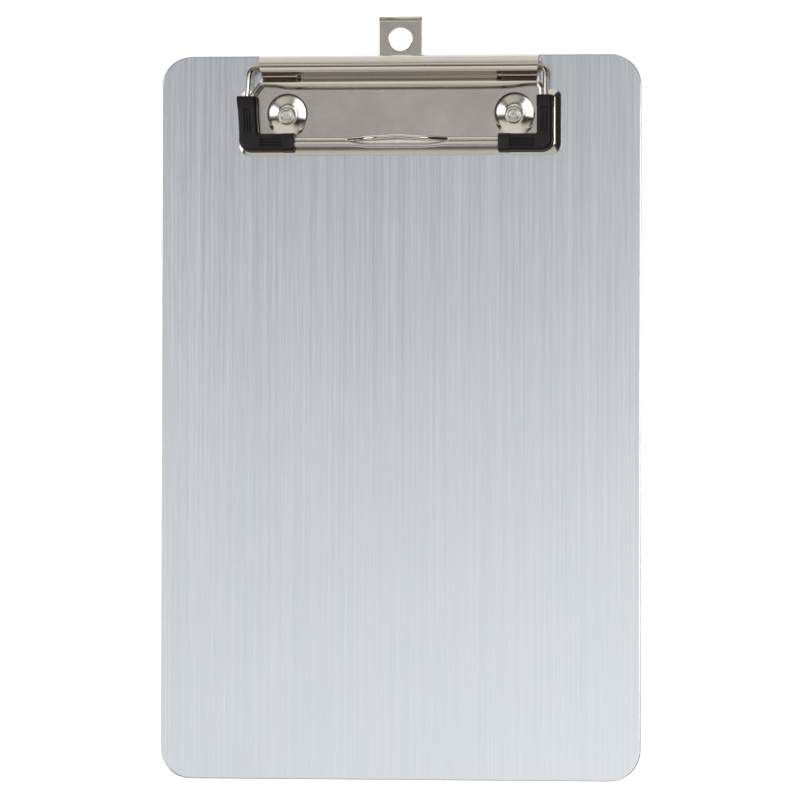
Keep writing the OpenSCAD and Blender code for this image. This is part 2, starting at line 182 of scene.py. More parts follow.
def platedSheet(name, look, paintedShade=None):
    mat, tree, shader = newMaterial(name, look["base"], look["rough"])
    cloud = stretchedNoise(tree, look["cloud"], 4.0, 0.6)
    fine = stretchedNoise(tree, look["fine"], 3.0, 0.6)
    color = mixColors(tree, spread(tree, cloud, 0.0, 1.0), look["dark"], look["light"])
    # painted shade: the sheet is coloured darker in a band along the channel, where shade and dark
    # reflections fall
    if paintedShade:
        away = addNode(tree, "ShaderNodeMath", operation="SUBTRACT")
        distance = addNode(tree, "ShaderNodeMath", operation="ABSOLUTE")
        tree.links.new(placeAlong(tree), away.inputs[0])
        away.inputs[1].default_value = paintedShade["middle"]
        tree.links.new(away.outputs[0], distance.inputs[0])
        half, soft = paintedShade["half"], paintedShade["soft"]
        outsideShade = softSpan(tree, distance.outputs[0], half - soft, half + soft)
        blend = addNode(tree, "ShaderNodeMix", data_type="RGBA")
        blend.inputs[6].default_value = (*paintedShade["color"], 1)
        tree.links.new(outsideShade, blend.inputs[0])
        tree.links.new(color, blend.inputs[7])
        color = blend.outputs[2]
    tree.links.new(color, shader.inputs["Base Color"])
    both = addValues(tree, cloud, fine)
    tree.links.new(spread(tree, both, *look["roughSpan"], *sumSpan), shader.inputs["Roughness"])
    addBump(tree, shader, both, *look["bump"])
    return mat


def platedWire(look, paintedShade):
    mat, tree, shader = newMaterial("platedWire", look["base"], look["rough"])
    fine = stretchedNoise(tree, look["fine"], 3.0, 0.6)
    color = mixColors(tree, spread(tree, fine, 0.0, 1.0), look["dark"], look["light"])
    # painted shade: the wire is coloured dark brown where it turns into the curl, standing in for shade and
    # dark reflections there
    wireShadeMask = softSpan(tree, placeAlong(tree), paintedShade["from"], paintedShade["to"])
    blend = addNode(tree, "ShaderNodeMix", data_type="RGBA")
    blend.inputs[7].default_value = (*paintedShade["color"], 1)
    tree.links.new(wireShadeMask, blend.inputs[0])
    tree.links.new(color, blend.inputs[6])
    tree.links.new(blend.outputs[2], shader.inputs["Base Color"])
    tree.links.new(spread(tree, fine, *look["roughSpan"]), shader.inputs["Roughness"])
    addBump(tree, shader, fine, *look["bump"])
    return mat


def rivetSteel(look):
    mat, tree, shader = newMaterial("rivetSteel", look["base"], look["rough"])
    fine = stretchedNoise(tree, look["fine"], 4.0, 0.6)
    color = mixColors(tree, spread(tree, fine, 0.0, 1.0), look["dark"], look["light"])
    tree.links.new(color, shader.inputs["Base Color"])
    tree.links.new(spread(tree, fine, *look["roughSpan"]), shader.inputs["Roughness"])
    addBump(tree, shader, fine, *look["bump"])
    return mat


def blackRubber(look):
    mat, tree, shader = newMaterial("blackRubber", look["base"], look["rough"], 0.0, 0.3)
    skin = stretchedNoise(tree, look["skin"], 4.0, 0.6)
    cloud = stretchedNoise(tree, look["cloud"], 3.0, 0.55)
    color = mixColors(tree, spread(tree, cloud, 0.0, 1.0), look["dark"], look["light"])
    tree.links.new(color, shader.inputs["Base Color"])
    rough = spread(tree, addValues(tree, skin, cloud), *look["roughSpan"], *sumSpan)
    tree.links.new(rough, shader.inputs["Roughness"])
    addBump(tree, shader, skin, *look["bump"])
    return mat


aluminium = brushedAluminium(aluminiumLook)
sheetFinish = platedSheet("platedSheet", sheetLook)
# this material carries the painted shade band along the curl's channel
channelPaintedShadeFinish = platedSheet("platedChannelPaintedShade", sheetLook, channelPaintedShade)
# this wire material carries painted shade where the wires turn into the curl
wireFinish = platedWire(wireLook, wirePaintedShade)
rivetFinish = rivetSteel(rivetLook)
rubber = blackRubber(rubberLook)
print("materials made")


# shared mesh helpers, all in millimetres
def roundedLoop(halfW, lowY, highY, radius, steps=10):
    points = []
    right, left, top, bottom = halfW - radius, radius - halfW, highY - radius, lowY + radius
    for cx, cy, start in ((right, top, 0), (left, top, 90), (left, bottom, 180), (right, bottom, 270)):
        for i in range(steps + 1):
            a = math.radians(start + 90 * i / steps)
            points.append((cx + radius * math.cos(a), cy + radius * math.sin(a)))
    return points


def circleLoop(x, y, radius, steps=64):
    turns = [2 * math.pi * i / steps for i in range(steps)]
    return [(x + radius * math.cos(a), y + radius * math.sin(a)) for a in turns]


def addLoop(bm, points, z):
    return [bm.verts.new((x, y, z)) for x, y in points]


def bridge(bm, lower, upper, closed=True):
    count = len(lower)
    for i in range(count if closed else count - 1):
        j = (i + 1) % count
        bm.faces.new((lower[i], lower[j], upper[j], upper[i]))


def fillBetween(bm, loops):
    edges = []
    for loop in loops:
        for i, vert in enumerate(loop):
            other = loop[(i + 1) % len(loop)]
            edge = bm.edges.get((vert, other)) or bm.edges.new((vert, other))
            edges.append(edge)
    bmesh.ops.triangle_fill(bm, edges=edges, use_beauty=True, use_dissolve=False)


def makeObject(name, bm, material, sharpAngle=40):
    bmesh.ops.remove_doubles(bm, verts=bm.verts, dist=0.0005)
    bmesh.ops.recalc_face_normals(bm, faces=bm.faces)
    mesh = bpy.data.meshes.new(name)
    bm.to_mesh(mesh)
    bm.free()
    return dressMesh(name, mesh, material, sharpAngle)


def dressMesh(name, mesh, material, sharpAngle=40, scale=mm):
    for vert in mesh.vertices:
        vert.co *= scale
    mesh.materials.clear()
    mesh.materials.append(material)
    mesh.shade_smooth()
    mesh.set_sharp_from_angle(angle=math.radians(sharpAngle))
    piece = bpy.data.objects.new(name, mesh)
    bpy.context.scene.collection.objects.link(piece)
    return piece


def bakeModifiers(piece, name, material, sharpAngle=40):
    bpy.context.view_layer.update()
    graph = bpy.context.evaluated_depsgraph_get()
    mesh = bpy.data.meshes.new_from_object(piece.evaluated_get(graph))
    bpy.data.objects.remove(piece)
    mesh.name = name
    return dressMesh(name, mesh, material, sharpAngle, 1.0)


rivetPlace = {"x": 36.0, "y": 95.1}          # the right rivet, the left one mirrors it

# board
boardSheet = {"width": 152.4, "length": 228.6, "thick": 2.0, "cornerRadius": 10.0, "edgeRound": 0.35,
              "holeRadius": 1.68, "recessRadius": 2.76, "recessDepth": 0.8, "margin": 0.3}


def makeBoard(size):
    bm = bmesh.new()
    halfW, halfL, radius = size["width"] / 2, size["length"] / 2, size["cornerRadius"]
    e, t, margin = size["edgeRound"], size["thick"], size["margin"]

    def outline(inset, z):
        return addLoop(bm, roundedLoop(halfW - inset, inset - halfL, halfL - inset, radius - inset, 20), z)

    quarter = (0, 0.39, 0.79, 1.18, 1.57)
    section = [(e + margin, 0.0)]
    section += [(e - e * math.sin(a), e - e * math.cos(a)) for a in quarter]
    section += [(e - e * math.cos(a), t - e + e * math.sin(a)) for a in quarter]
    section += [(e + margin, t)]
    loops = [outline(inset, z) for inset, z in section]
    for lower, upper in zip(loops, loops[1:]):
        bridge(bm, lower, upper)
    tops, bottoms = [loops[-1]], [loops[0]]
    for side in (-1, 1):
        x, y = side * rivetPlace["x"], rivetPlace["y"]
        rings = [addLoop(bm, circleLoop(x, y, r), z) for r, z in (
            (size["recessRadius"], 0.0), (size["recessRadius"], size["recessDepth"]),
            (size["holeRadius"], size["recessDepth"]), (size["holeRadius"], t))]
        for lower, upper in zip(rings, rings[1:]):
            bridge(bm, lower, upper)
        bottoms.append(rings[0])
        tops.append(rings[-1])
    fillBetween(bm, tops)
    fillBetween(bm, bottoms)
    return makeObject("boardSheet", bm, aluminium, 35)


board = makeBoard(boardSheet)
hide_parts("board")
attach(board, "base")
print("board made")


# clip plate: platform with turned-down edges and dishes, and the curl
clipPlate = {"halfWidth": 51.0, "frontY": 82.5, "shoulderY": 103.1, "cornerRadius": 3.4, "backRadius": 2.6,
             "bendRadius": 2.0, "sideReach": 2.2, "frontReach": 5.0, "slopeWidth": (1.75, 2.3),
             "slopeAngle": 38.0, "slopeSoft": (0.35, 1.2), "slopeRound": 0.2, "sheet": 0.8, "underZ": 4.0,
             "footZ": 2.02, "margin": 0.3, "tongueHalf": 44.2, "web": 2.5, "tongueBackY": 108.0,
             "dishX": (-35.5, 36.5), "dishY": 95.6, "dishDepth": 2.0, "softRim": (0.3, 0.95),
             "rivetHole": 1.4}
# height of the dish's upper face over its floor, by distance from its centre
dishProfile = [(6.8, 2.0), (6.42, 2.0), (6.37, 1.87), (6.32, 1.74), (6.26, 1.58), (6.2, 1.42), (6.13, 1.23),
               (6.07, 1.07), (6.0, 0.92), (5.9, 0.84), (5.7, 0.775), (5.3, 0.68), (4.9, 0.58), (4.4, 0.455),
               (3.9, 0.335), (3.4, 0.21), (3.15, 0.13), (3.0, 0.04), (2.9, 0.0), (2.0, 0.0)]
# the same at the front of the dish, where its rim is soft
softProfile = [(7.6, 2.0), (7.35, 2.0), (7.2, 1.985), (7.0, 1.945), (6.8, 1.885), (6.6, 1.805), (6.4, 1.71),
               (6.2, 1.61), (6.0, 1.505), (5.8, 1.4), (5.5, 1.24), (5.2, 1.08), (4.8, 0.865), (4.4, 0.655),
               (3.9, 0.41), (3.4, 0.2), (3.15, 0.11), (3.0, 0.04), (2.9, 0.0), (2.0, 0.0)]


def plateOutline(size):
    # stations round the plate: place, outward normal, and how far the edge is turned down there
    w, front, back = size["halfWidth"], size["frontY"], size["shoulderY"]
    c, b = size["cornerRadius"], size["backRadius"]
    half = [(0.0, front, 0.0, -1.0, 1.0)]
    for r, cx, cy, start in ((c, w - c, front + c, -90), (b, w - b, back - b, 0)):
        for i in range(13):
            a = math.radians(start + 90 * i / 12)
            half.append((cx + r * math.cos(a), cy + r * math.sin(a), math.cos(a), math.sin(a), 1.0))
    tongue, web, top = size["tongueHalf"], size["web"], size["tongueBackY"]
    soft = math.tan(math.radians(22.5))
    half.append((tongue + web, back, soft, 1.0, 1.0))
    half.append((tongue + web * 0.5, back + web * 0.5, 0.72, 0.70, 0.35))
    half.append((tongue, back + web, 1.0, soft, 0.0))
    half.append((tongue, top, 1.0, 1.0, 0.0))
    mirrored = [(-x, y, -nx, ny, f) for x, y, nx, ny, f in reversed(half[1:])]
    return half + mirrored


def slopedEdge(size, reach, front):
    # a flat slope between a soft bend above and a small round below, 17 points
    top, small = size["underZ"] + size["sheet"], size["slopeRound"]
    width, soft = [side + (ahead - side) * front for side, ahead in (size["slopeWidth"], size["slopeSoft"])]
    rise = math.tan(math.radians(size["slopeAngle"]))

    def height(inset):
        k, last = width - inset, width - reach
        return top - rise * (k + math.hypot(k, soft) - last - math.hypot(last, soft)) / 2

    turn = math.radians(90 - size["slopeAngle"])
    first = small * (1 - math.cos(turn))
    points = []
    for i in range(5):
        a = turn * i / 4
        drop = small * (math.sin(turn) - math.sin(a))
        points.append((small * (1 - math.cos(a)), height(first) - drop))
    for i in range(1, 13):
        inset = first + (reach - first) * (i / 12) ** 0.6
        points.append((inset, height(inset)))
    return points


def plateSection(size, down, reach, front):
    # (inset, height) from the underside, round the edge, to the upper side
    r, t, low = size["bendRadius"], size["sheet"], size["underZ"]
    top, inner, foot, margin = low + t, r - t, size["footZ"], size["margin"]
    turned, level = [(reach + margin, low)], [(reach + margin, low)]
    for i in range(7):
        a = math.radians(90 * i / 6)
        turned.append((reach - (reach - t) * math.sin(a), top - r + inner * math.cos(a)))
        level.append((reach - (reach - 0.1) * i / 6, low))
    turned += [(t, foot + 0.1), (t - 0.1, foot), (0.1, foot), (0.0, foot + 0.1)]
    level += [(0.1, low), (0.05, low + 0.05), (0.0, low + 0.1), (0.0, low + 0.3)]
    turned += slopedEdge(size, reach, front)
    level += [(reach * i / 16, top) for i in range(17)]
    turned.append((reach + margin, top))
    level.append((reach + margin, top))
    flat = 1 - down
    return [(a[0] * down + b[0] * flat, a[1] * down + b[1] * flat) for a, b in zip(turned, level)]


def smoothStep(value, low, high):
    t = min(max((value - low) / (high - low), 0.0), 1.0)
    return t * t * (3 - 2 * t)


def dishRings(bm, x, y, floorZ, softRim, steps=72):
    rings = []
    for (hardR, hardH), (softR, softH) in zip(dishProfile, softProfile):
        ring = []
        for i in range(steps):
            a = 2 * math.pi * i / steps
            soft = smoothStep(-math.sin(a), *softRim)
            r, h = hardR + (softR - hardR) * soft, hardH + (softH - hardH) * soft
            ring.append(bm.verts.new((x + r * math.cos(a), y + r * math.sin(a), floorZ + h)))
        rings.append(ring)
    return rings


def makePlatform(size):
    bm = bmesh.new()
    stations = plateOutline(size)
    rings = []
    for x, y, nx, ny, down in stations:
        front = max(0.0, -ny) ** 2
        reach = size["sideReach"] + (size["frontReach"] - size["sideReach"]) * front
        rings.append([bm.verts.new((x - nx * inset, y - ny * inset, z))
                      for inset, z in plateSection(size, down, reach, front)])
    for i, ring in enumerate(rings):
        bridge(bm, ring, rings[(i + 1) % len(rings)], closed=False)
    uppers, lowers = [[ring[-1] for ring in rings]], [[ring[0] for ring in rings]]
    floorZ, t = size["underZ"] + size["sheet"] - size["dishDepth"], size["sheet"]
    for side in (0, 1):
        x, y = size["dishX"][side], size["dishY"]
        rx, ry = (2 * side - 1) * rivetPlace["x"], rivetPlace["y"]
        upper = dishRings(bm, x, y, floorZ, size["softRim"])
        lower = dishRings(bm, x, y, floorZ - t, size["softRim"])
        edge = circleLoop(rx, ry, size["rivetHole"], 72)
        hole = [addLoop(bm, edge, z) for z in (floorZ, floorZ - t)]
        for wall in (upper + [hole[0]], lower + [hole[1]], hole):
            for a, b in zip(wall, wall[1:]):
                bridge(bm, a, b)
        uppers.append(upper[0])
        lowers.append(lower[0])
    fillBetween(bm, uppers)
    fillBetween(bm, lowers)
    return makeObject("clipPlatform", bm, sheetFinish, 50)


platform = makePlatform(clipPlate)

curlShape = {"halfWidth": 44.2, "hump": 44.0, "stations": 151, "sheet": 0.4, "humpSheet": 0.32,
             "seamY": 110.3, "depth": 6.8, "taper": (1.5, 0.6), "taperFrom": 34.0, "taperTo": 44.0,
             "bow": 0.6, "bowFrom": 33.0, "bowTo": 43.0, "bowDrop": 1.6, "bowCrown": 0.3, "bowShare": 0.75,
             "lipY": (104.0, 105.8), "pinch": 12.6, "pinchSoft": 0.3}
# upper line of the roll: from the sheet under the hump, round the back and forward to the seam
rollLine = [(108.0, 4.0), (109.5, 4.0), (110.8, 4.0), (111.75, 4.0), (112.4, 4.1), (112.95, 4.35),
            (113.4, 4.8), (113.7, 5.35)]
for degrees in range(0, 91, 6):
    turn = math.radians(degrees)
    rollLine.append((110.95 + 2.95 * math.cos(turn), 6.0 + 2.3 * math.sin(turn)))
rollLine += [(110.7, 8.28), (110.5, 8.18), (110.4, 8.02), (110.35, 7.85)]
# upper line of the hump from the seam to its front lip: place, height near the ends, height in the middle
humpLine = [(110.3, 7.8, 7.8), (110.22, 7.95, 7.95), (110.12, 8.1, 8.1), (109.98, 8.25, 8.25),
            (109.8, 8.38, 8.38), (109.5, 8.5, 8.5), (109.2, 8.57, 8.57), (108.95, 8.57, 8.57),
            (108.75, 8.48, 8.48), (108.58, 8.25, 8.33), (108.45, 7.9, 8.18), (108.33, 7.5, 8.03),
            (108.2, 7.05, 7.86), (108.08, 6.6, 7.7), (107.95, 6.25, 7.53), (107.82, 6.55, 7.36),
            (107.7, 6.95, 7.2), (107.58, 7.4, 7.05), (107.42, 7.74, 6.84), (107.2, 7.82, 6.56),
            (107.02, 7.72, 6.45), (106.88, 7.35, 6.5), (106.74, 6.75, 6.65), (106.6, 6.1, 6.81),
            (106.46, 5.5, 6.98), (106.32, 5.15, 7.15), (106.16, 5.6, 7.34), (106.02, 6.3, 7.51),
            (105.88, 6.95, 7.68), (105.74, 7.45, 7.84), (105.6, 7.82, 8.0), (105.44, 8.12, 8.18),
            (105.25, 8.36, 8.38), (104.9, 8.54, 8.54), (104.6, 8.6, 8.6), (104.35, 8.56, 8.56),
            (104.18, 8.42, 8.42), (104.05, 8.2, 8.2), (103.95, 7.97, 7.97), (103.85, 7.72, 7.72),
            (103.75, 7.47, 7.47), (103.65, 7.22, 7.22), (103.55, 6.97, 6.97), (103.5, 6.8, 6.8),
            (103.6, 6.65, 6.65), (103.9, 6.6, 6.6)]


def sweepSheet(name, line, halfWidth, shape, bend):
    bm = bmesh.new()
    count = shape["stations"]
    rows = []
    for i in range(count):
        x = halfWidth * (2 * i / (count - 1) - 1)
        rows.append([bm.verts.new(bend(x, *point)) for point in line])
    for a, b in zip(rows, rows[1:]):
        bridge(bm, a, b, closed=False)
    piece = makeObject(name, bm, sheetFinish, 70)
    highest = max(piece.data.polygons, key=lambda face: face.center.z)
    if highest.normal.z < 0:
        piece.data.flip_normals()
    return piece


def thicken(piece, thick, finish):
    solid = piece.modifiers.new("thick", "SOLIDIFY")
    solid.thickness = thick * mm
    solid.offset = -1
    solid.use_even_offset = True
    solid.use_quality_normals = True
    return bakeModifiers(piece, piece.name, finish, 45)


def straightRoll(x, y, z):
    return x, y, z


def bendHump(x, y, endZ, midZ):
    # the two channels are deep at the ends only, the lip bows forward, and the ends taper
    shape = curlShape
    inward = shape["halfWidth"] - abs(x)
    slack = smoothStep(inward, shape["pinch"] - shape["pinchSoft"], shape["pinch"] + shape["pinchSoft"])
    forward = 1 - smoothStep(y, *shape["lipY"])
    ease = smoothStep(abs(x), shape["bowFrom"], shape["bowTo"]) * shape["bowDrop"]
    bow = shape["bow"] * (1 - ease - shape["bowCrown"] * (x / shape["halfWidth"]) ** 2)
    back = shape["taper"][x > 0] * (shape["seamY"] - y) / shape["depth"]
    cut = back * smoothStep(abs(x), shape["taperFrom"], shape["taperTo"])
    return x - math.copysign(cut, x), y - bow * forward * shape["bowShare"], endZ + (midZ - endZ) * slack


rollSheet = sweepSheet("curlRoll", rollLine, curlShape["halfWidth"], curlShape, straightRoll)
roll = thicken(rollSheet, curlShape["sheet"], sheetFinish)
humpSheet = sweepSheet("curlHump", humpLine, curlShape["hump"], curlShape, bendHump)
hump = thicken(humpSheet, curlShape["humpSheet"], channelPaintedShadeFinish)

# the two rails that the tab slides between
guideRail = {"x": 8.2, "halfWidth": 0.38, "frontY": 106.8, "backY": 111.7, "round": 0.2, "lowZ": 2.02,
             "topZ": 4.05}


def makeGuides(size):
    bm = bmesh.new()
    for side in (-1, 1):
        rail = roundedLoop(size["halfWidth"], size["frontY"], size["backY"], size["round"], 3)
        placed = [(x + side * size["x"], y) for x, y in rail]
        loops = [addLoop(bm, placed, z) for z in (size["lowZ"], size["topZ"])]
        bridge(bm, *loops)
        bm.faces.new(loops[0])
        bm.faces.new(loops[1])
    return makeObject("tabGuides", bm, sheetFinish, 40)


guides = makeGuides(guideRail)
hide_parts("base_plate")
for piece in (platform, roll, hump, guides):
    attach(piece, "base")
print("clip plate made")


# wires: one Geometry Nodes tree sweeps the round section along each path
wireSize = {"thick": 1.62, "sides": 32, "shift": 0.7, "hingeZ": 7.0, "bumpTop": 8.6, "bumpFoot": 15.9,
            "bumpLean": 0.25, "bumpShift": 0.35, "topRadius": 12.0, "footRadius": 3.0, "arch": 0.6,
            "archRadius": 40.0, "sagRadius": 30.0, "turnStep": 5.0, "pathStep": 0.5}
# places of the left arm's bends in front of the hinge line
outerLeft = [((-46.6, 110.1), 2.6), ((-47.35, 100.5), 20.0)]
innerLeft = [((-42.9, 105.1), 1.5), ((-45.65, 101.4), 1.5)]
outerBail = {"hingeY": 110.1, "armX": 47.1, "barY": 85.85, "barZ": 7.2, "bumpRise": 0.0, "sag": 0.6,
             "exitRadius": 2.2, "cornerRadius": 3.4}
innerBail = {"hingeY": 105.1, "armX": 45.4, "barY": 87.3, "barZ": 6.5, "bumpRise": 3.75, "sag": 0.0,
             "exitRadius": 2.0, "cornerRadius": 1.7}


def wirePath(size, bail, left):
    z, bar, low, b = size["hingeZ"], bail["barY"], bail["barZ"], size["bumpShift"]
    top, foot = size["bumpTop"], size["bumpFoot"]
    rise, lean = bail["bumpRise"], size["bumpLean"]
    half = [((1.0, bail["hingeY"], z), 0), ((bail["armX"], bail["hingeY"], z), bail["exitRadius"]),
            ((bail["armX"], bar, low), bail["cornerRadius"])]
    if rise:
        half += [((foot + b, bar, low), size["footRadius"]),
                 ((top + b, bar + lean, low + rise), size["topRadius"]),
                 ((b + 0.01, bar + lean + size["arch"], low + rise), size["archRadius"])]
    else:
        half += [((foot + b, bar, low), size["sagRadius"]),
                 ((top + b, bar - bail["sag"], low), size["sagRadius"])]
    other = [((2 * b * (i > 2) - p[0], p[1], p[2]), r) for i, (p, r) in enumerate(half)]
    knots = half + other[::-1]
    knots[-2:-1] = [((*place, z), radius) for place, radius in reversed(left)]
    points = []
    for i, (point, radius) in enumerate(knots):
        p = Vector(point)
        if radius == 0:
            points.append(p)
            continue
        before = (Vector(knots[i - 1][0]) - p).normalized()
        after = (Vector(knots[i + 1][0]) - p).normalized()
        turn = math.pi - before.angle(after)
        cut = radius * math.tan(turn / 2)
        centre = p + (before + after).normalized() * radius / math.cos(turn / 2)
        start = p + before * cut - centre
        steps = max(6, int(math.degrees(turn) / size["turnStep"]))
        axis = start.cross(p + after * cut - centre).normalized()
        for k in range(steps + 1):
            a = turn * k / steps
            points.append(centre + start * math.cos(a) + axis.cross(start) * math.sin(a))
    return [(q.x - size["shift"], q.y, q.z) for q in points]


def wireTree():
    tree = bpy.data.node_groups.new("bentWire", "GeometryNodeTree")
    face = tree.interface
    face.new_socket("Geometry", in_out="INPUT", socket_type="NodeSocketGeometry")
    face.new_socket("Wire Diameter", in_out="INPUT", socket_type="NodeSocketFloat")
    face.new_socket("Sides", in_out="INPUT", socket_type="NodeSocketInt")
    face.new_socket("Finish", in_out="INPUT", socket_type="NodeSocketMaterial")
    face.new_socket("Geometry", in_out="OUTPUT", socket_type="NodeSocketGeometry")
    source, sink = tree.nodes.new("NodeGroupInput"), tree.nodes.new("NodeGroupOutput")
    half = addNode(tree, "ShaderNodeMath", operation="MULTIPLY")
    half.inputs[1].default_value = 0.5
    section = tree.nodes.new("GeometryNodeCurvePrimitiveCircle")
    sweep = addNode(tree, "GeometryNodeCurveToMesh")
    sweep.inputs["Fill Caps"].default_value = True
    real, paint = tree.nodes.new("GeometryNodeRealizeInstances"), tree.nodes.new("GeometryNodeSetMaterial")
    link = tree.links.new
    link(source.outputs["Wire Diameter"], half.inputs[0])
    link(half.outputs[0], section.inputs["Radius"])
    link(source.outputs["Sides"], section.inputs["Resolution"])
    link(source.outputs["Geometry"], sweep.inputs["Curve"])
    link(section.outputs["Curve"], sweep.inputs["Profile Curve"])
    link(sweep.outputs["Mesh"], real.inputs["Geometry"])
    link(real.outputs["Geometry"], paint.inputs["Geometry"])
    link(source.outputs["Finish"], paint.inputs["Material"])
    link(paint.outputs["Geometry"], sink.inputs["Geometry"])
    return tree


def setInput(modifier, name, value):
    for item in modifier.node_group.interface.items_tree:
        if item.item_type == "SOCKET" and item.in_out == "INPUT" and item.name == name:
            modifier[item.identifier] = value


def makeWire(name, points, size, tree):
    curve = bpy.data.curves.new(name, "CURVE")
    curve.dimensions = "3D"
    spline = curve.splines.new("POLY")
    spline.points.add(len(points) - 1)
    for knot, point in zip(spline.points, points):
        knot.co = (*[c * mm for c in point], 1)
    piece = bpy.data.objects.new(name, curve)
    bpy.context.scene.collection.objects.link(piece)
    sweep = piece.modifiers.new("sweep", "NODES")
    sweep.node_group = tree
    setInput(sweep, "Wire Diameter", size["thick"] * mm)
    setInput(sweep, "Sides", size["sides"])
    setInput(sweep, "Finish", wireFinish)
    return bakeModifiers(piece, name, wireFinish, 50)


def subdividePath(points, longest):
    dense = [Vector(points[0])]
    for point in points[1:]:
        a, b = dense[-1], Vector(point)
        parts = max(1, int((b - a).length / longest))
        dense += [a.lerp(b, (k + 1) / parts) for k in range(parts)]
    return dense


bentWire = wireTree()
outerWire = makeWire("outerWire", wirePath(wireSize, outerBail, outerLeft), wireSize, bentWire)
innerPath = subdividePath(wirePath(wireSize, innerBail, innerLeft), wireSize["pathStep"])
innerWire = makeWire("innerWire", innerPath, wireSize, bentWire)
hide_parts("outer_wire")
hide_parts("inner_wire")
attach(outerWire, "bail")
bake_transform(innerWire)
print("wires made")


# corner grips
gripSize = {"height": 4.8, "baseZ": 4.82, "edgeRadius": 1.1, "innerRadius": 0.25, "cornerRadius": 3.9,
            "foot": 0.25, "footHeight": 0.9, "backY": 101.0, "collar": 3.8, "collarStep": 0.1, "grooves": 3,
            "pitch": 0.88, "grooveWidth": 0.46, "grooveDepth": 0.6, "grooveEdge": 0.08, "endRound": 0.35,
            "leanFrom": 8.0}
gripLeft = {"outerX": -50.75, "innerX": -44.0, "endX": -32.9, "frontY": 83.3, "frontWidth": 6.15,
            "lean": -0.08}
gripRight = {"outerX": 49.0, "innerX": 43.4, "endX": 31.5, "frontY": 83.05, "frontWidth": 6.1, "lean": 0.0}


def gripSection(size, width, groove, inset):
    # from the foot of the inner face over the top to the foot of the outer face; across, height
    f, r, foot, lip = size["foot"], size["edgeRadius"], size["footHeight"], size["grooveEdge"]
    top, far = size["height"] - inset, width - inset
    points = [(inset, 0.0), (inset, foot - 0.1), (inset + f * 0.4, foot), (f + inset, foot + 0.12)]
    for i in range(9):
        a = math.radians(90 * i / 8)
        points.append((f + inset + r - r * math.cos(a), top - r + r * math.sin(a)))
    g, depth = size["grooveWidth"] / 2, size["grooveDepth"] * groove
    for k in range(size["grooves"]):
        x = width / 2 + (k - (size["grooves"] - 1) / 2) * size["pitch"]
        points += [(x - g - lip, top), (x - g, top - lip * groove), (x - g * 0.7, top - depth),
                   (x, top - depth * 1.06), (x + g * 0.7, top - depth), (x + g, top - lip * groove),
                   (x + g + lip, top)]
    for i in range(9):
        a = math.radians(90 * i / 8)
        points.append((far - f - r + r * math.sin(a), top - r + r * math.cos(a)))
    return points + [(far - f, foot + 0.12), (far - f * 0.4, foot), (far, foot - 0.1), (far, 0.0)]


def cornerReach(size, acrossW, alongW, a):
    # distance from the inner corner to the rounded outer corner, in the direction a
    r = size["cornerRadius"]
    cx, cy = acrossW - r, alongW - r
    ux, uy = math.cos(a), math.sin(a)
    if ux * cy >= uy * acrossW:
        return acrossW / ux
    if uy * cx >= ux * alongW:
        return alongW / uy
    along = ux * cx + uy * cy
    return along + math.sqrt(max(0.0, along * along - cx * cx - cy * cy + r * r))


def gripStations(size, one, sideWidth):
    # inner place, outward heading, width, groove and end inset, from the back end to the front arm's end
    side = 1 if one["outerX"] > 0 else -1
    r, step, e, backY = size["innerRadius"], size["collarStep"], size["endRound"], size["backY"]
    frontWidth, end = one["frontWidth"], one["endX"]
    turnX, turnY = one["innerX"] - side * r, one["frontY"] + frontWidth + r
    collarY, collarX = backY - size["collar"], end + side * size["collar"]
    out = []
    sideArm = [(backY, 0, e), (backY - e * 0.3, 0, e * 0.3), (backY - e, 0, 0), (collarY + 0.05, 0, 0),
               (collarY - 0.05, 0, step), (collarY - 0.2, 1, step), (turnY + 0.2, 1, step)]
    for y, groove, inset in sideArm:
        out.append(((one["innerX"], y), (side, 0.0), sideWidth, groove, inset))
    for i in range(25):
        a = math.radians(90 * i / 24)
        width = cornerReach(size, sideWidth + r, frontWidth + r, a) - r
        heading = (side * math.cos(a), -math.sin(a))
        out.append(((turnX + heading[0] * r, turnY + heading[1] * r), heading, width, 0, step))
    frontArm = [(turnX - side * 0.2, 1, step), (collarX + side * 0.2, 1, step),
                (collarX + side * 0.05, 0, step), (collarX - side * 0.05, 0, 0), (end + side * e, 0, 0),
                (end + side * e * 0.3, 0, e * 0.3), (end, 0, e)]
    for x, groove, inset in frontArm:
        out.append(((x, turnY - r), (0.0, -1.0), frontWidth, groove, inset))
    return out


def makeGrip(name, size, one):
    bm = bmesh.new()
    sideWidth = abs(one["outerX"] - one["innerX"])
    rings = []
    for (x, y), (ox, oy), width, groove, inset in gripStations(size, one, sideWidth):
        lean = one["lean"] * max(0.0, y - one["frontY"] - size["leanFrom"])
        rings.append([bm.verts.new((x + lean + ox * u, y + oy * u, size["baseZ"] + v))
                      for u, v in gripSection(size, width, groove, inset)])
    for a, b in zip(rings, rings[1:]):
        bridge(bm, a, b)
    bm.faces.new(rings[0])
    bm.faces.new(rings[-1])
    return makeObject(name, bm, rubber, 42)


leftGrip = makeGrip("leftGrip", gripSize, gripLeft)
rightGrip = makeGrip("rightGrip", gripSize, gripRight)
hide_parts("corner_grip_left")
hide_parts("corner_grip_right")
for piece in (leftGrip, rightGrip):
    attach(piece, "bail")
print("grips made")


# rivets: one lathed rivet, set on two points by Geometry Nodes; radius and height of its outline
rivetProfile = [(0.0, 3.42), (0.4, 3.41), (0.8, 3.39), (1.2, 3.4), (1.5, 3.45), (1.7, 3.53), (1.82, 3.6),
                (1.9, 3.57), (2.0, 3.6), (2.2, 3.63), (2.45, 3.57), (2.65, 3.42), (2.78, 3.22),
                (2.84, 3.02), (2.8, 2.93), (2.7, 2.86), (1.6, 2.82), (1.6, 0.8), (2.3, 0.8), (2.5, 0.72),
                (2.6, 0.5), (2.5, 0.28), (2.25, 0.2), (1.5, 0.22), (1.1, 0.34), (0.95, 0.6), (0.9, 1.2),
                (0.0, 1.2)]


